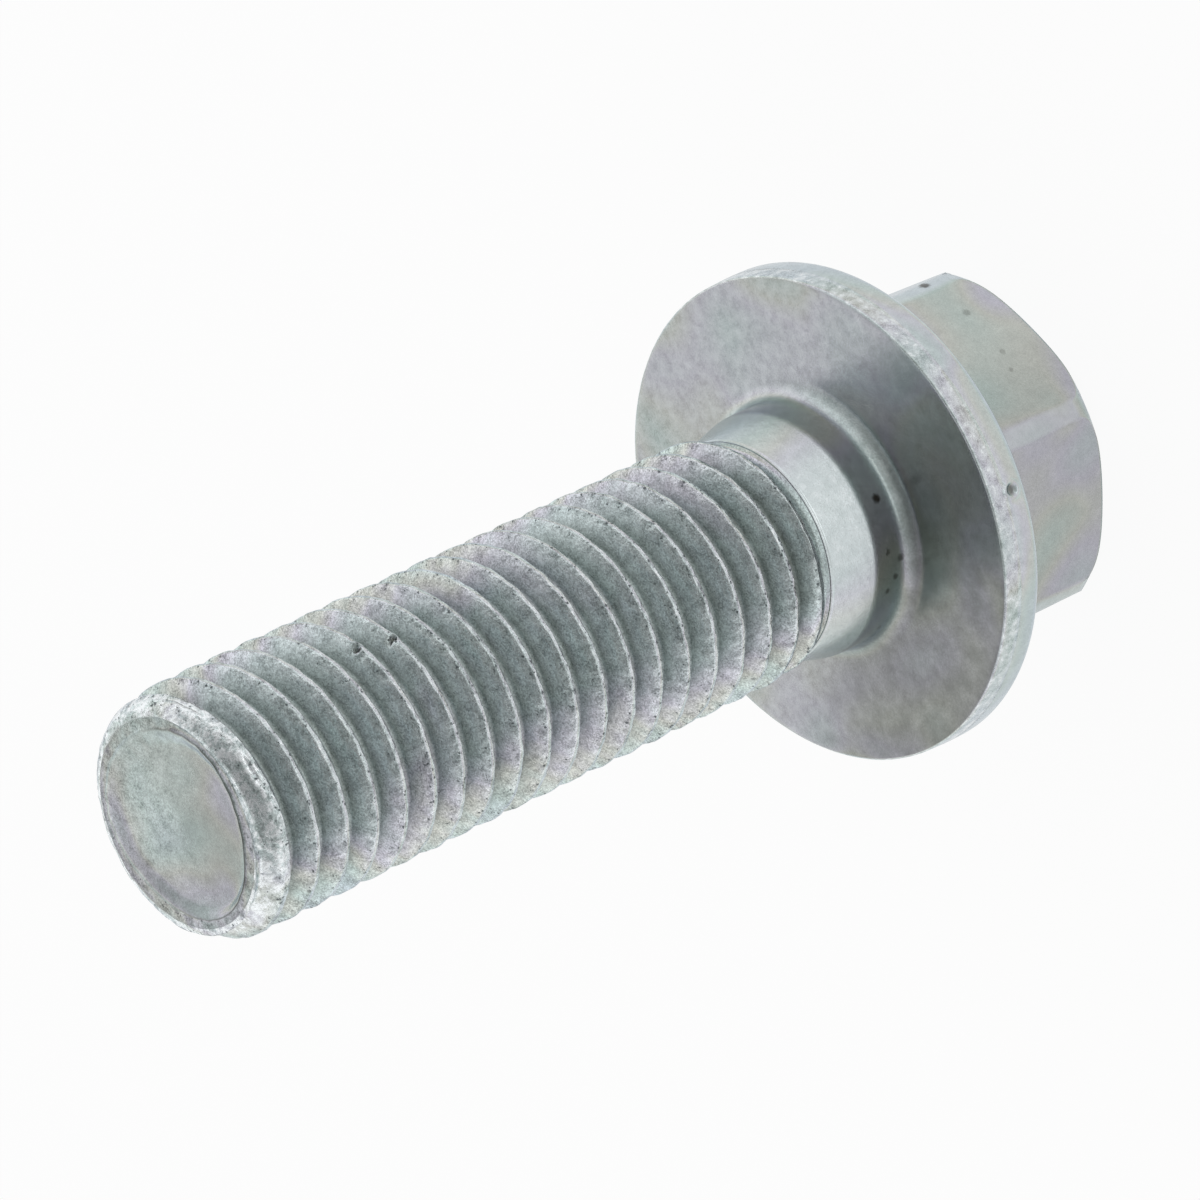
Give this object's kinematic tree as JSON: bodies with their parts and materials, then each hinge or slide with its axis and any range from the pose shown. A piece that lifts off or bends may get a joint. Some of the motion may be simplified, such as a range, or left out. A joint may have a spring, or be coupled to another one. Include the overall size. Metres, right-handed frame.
{
  "type": "hexagon flange bolt",
  "caption": "Zinc-plated hexagon bolt with a round flange forged onto its head, a plain neck and a coarse right-hand thread to its end; clamps parts without a separate washer.",
  "frame": {"origin": "centre of the flat round face on the head's end, which the bolt stands on", "axes": "+Z along the bolt's axis from the head to the thread's end; +X square to one flat of the hexagon"},
  "size_m": [0.0236, 0.0236, 0.0508],
  "materials": {
    "zinc_plated_steel": "bright zinc plating with a pale iridescent passivation, satin, pitted on the crests and edges"
  },
  "bodies": {
    "root": {"hex_flange_bolt": "zinc_plated_steel"}
  },
  "joints": []
}
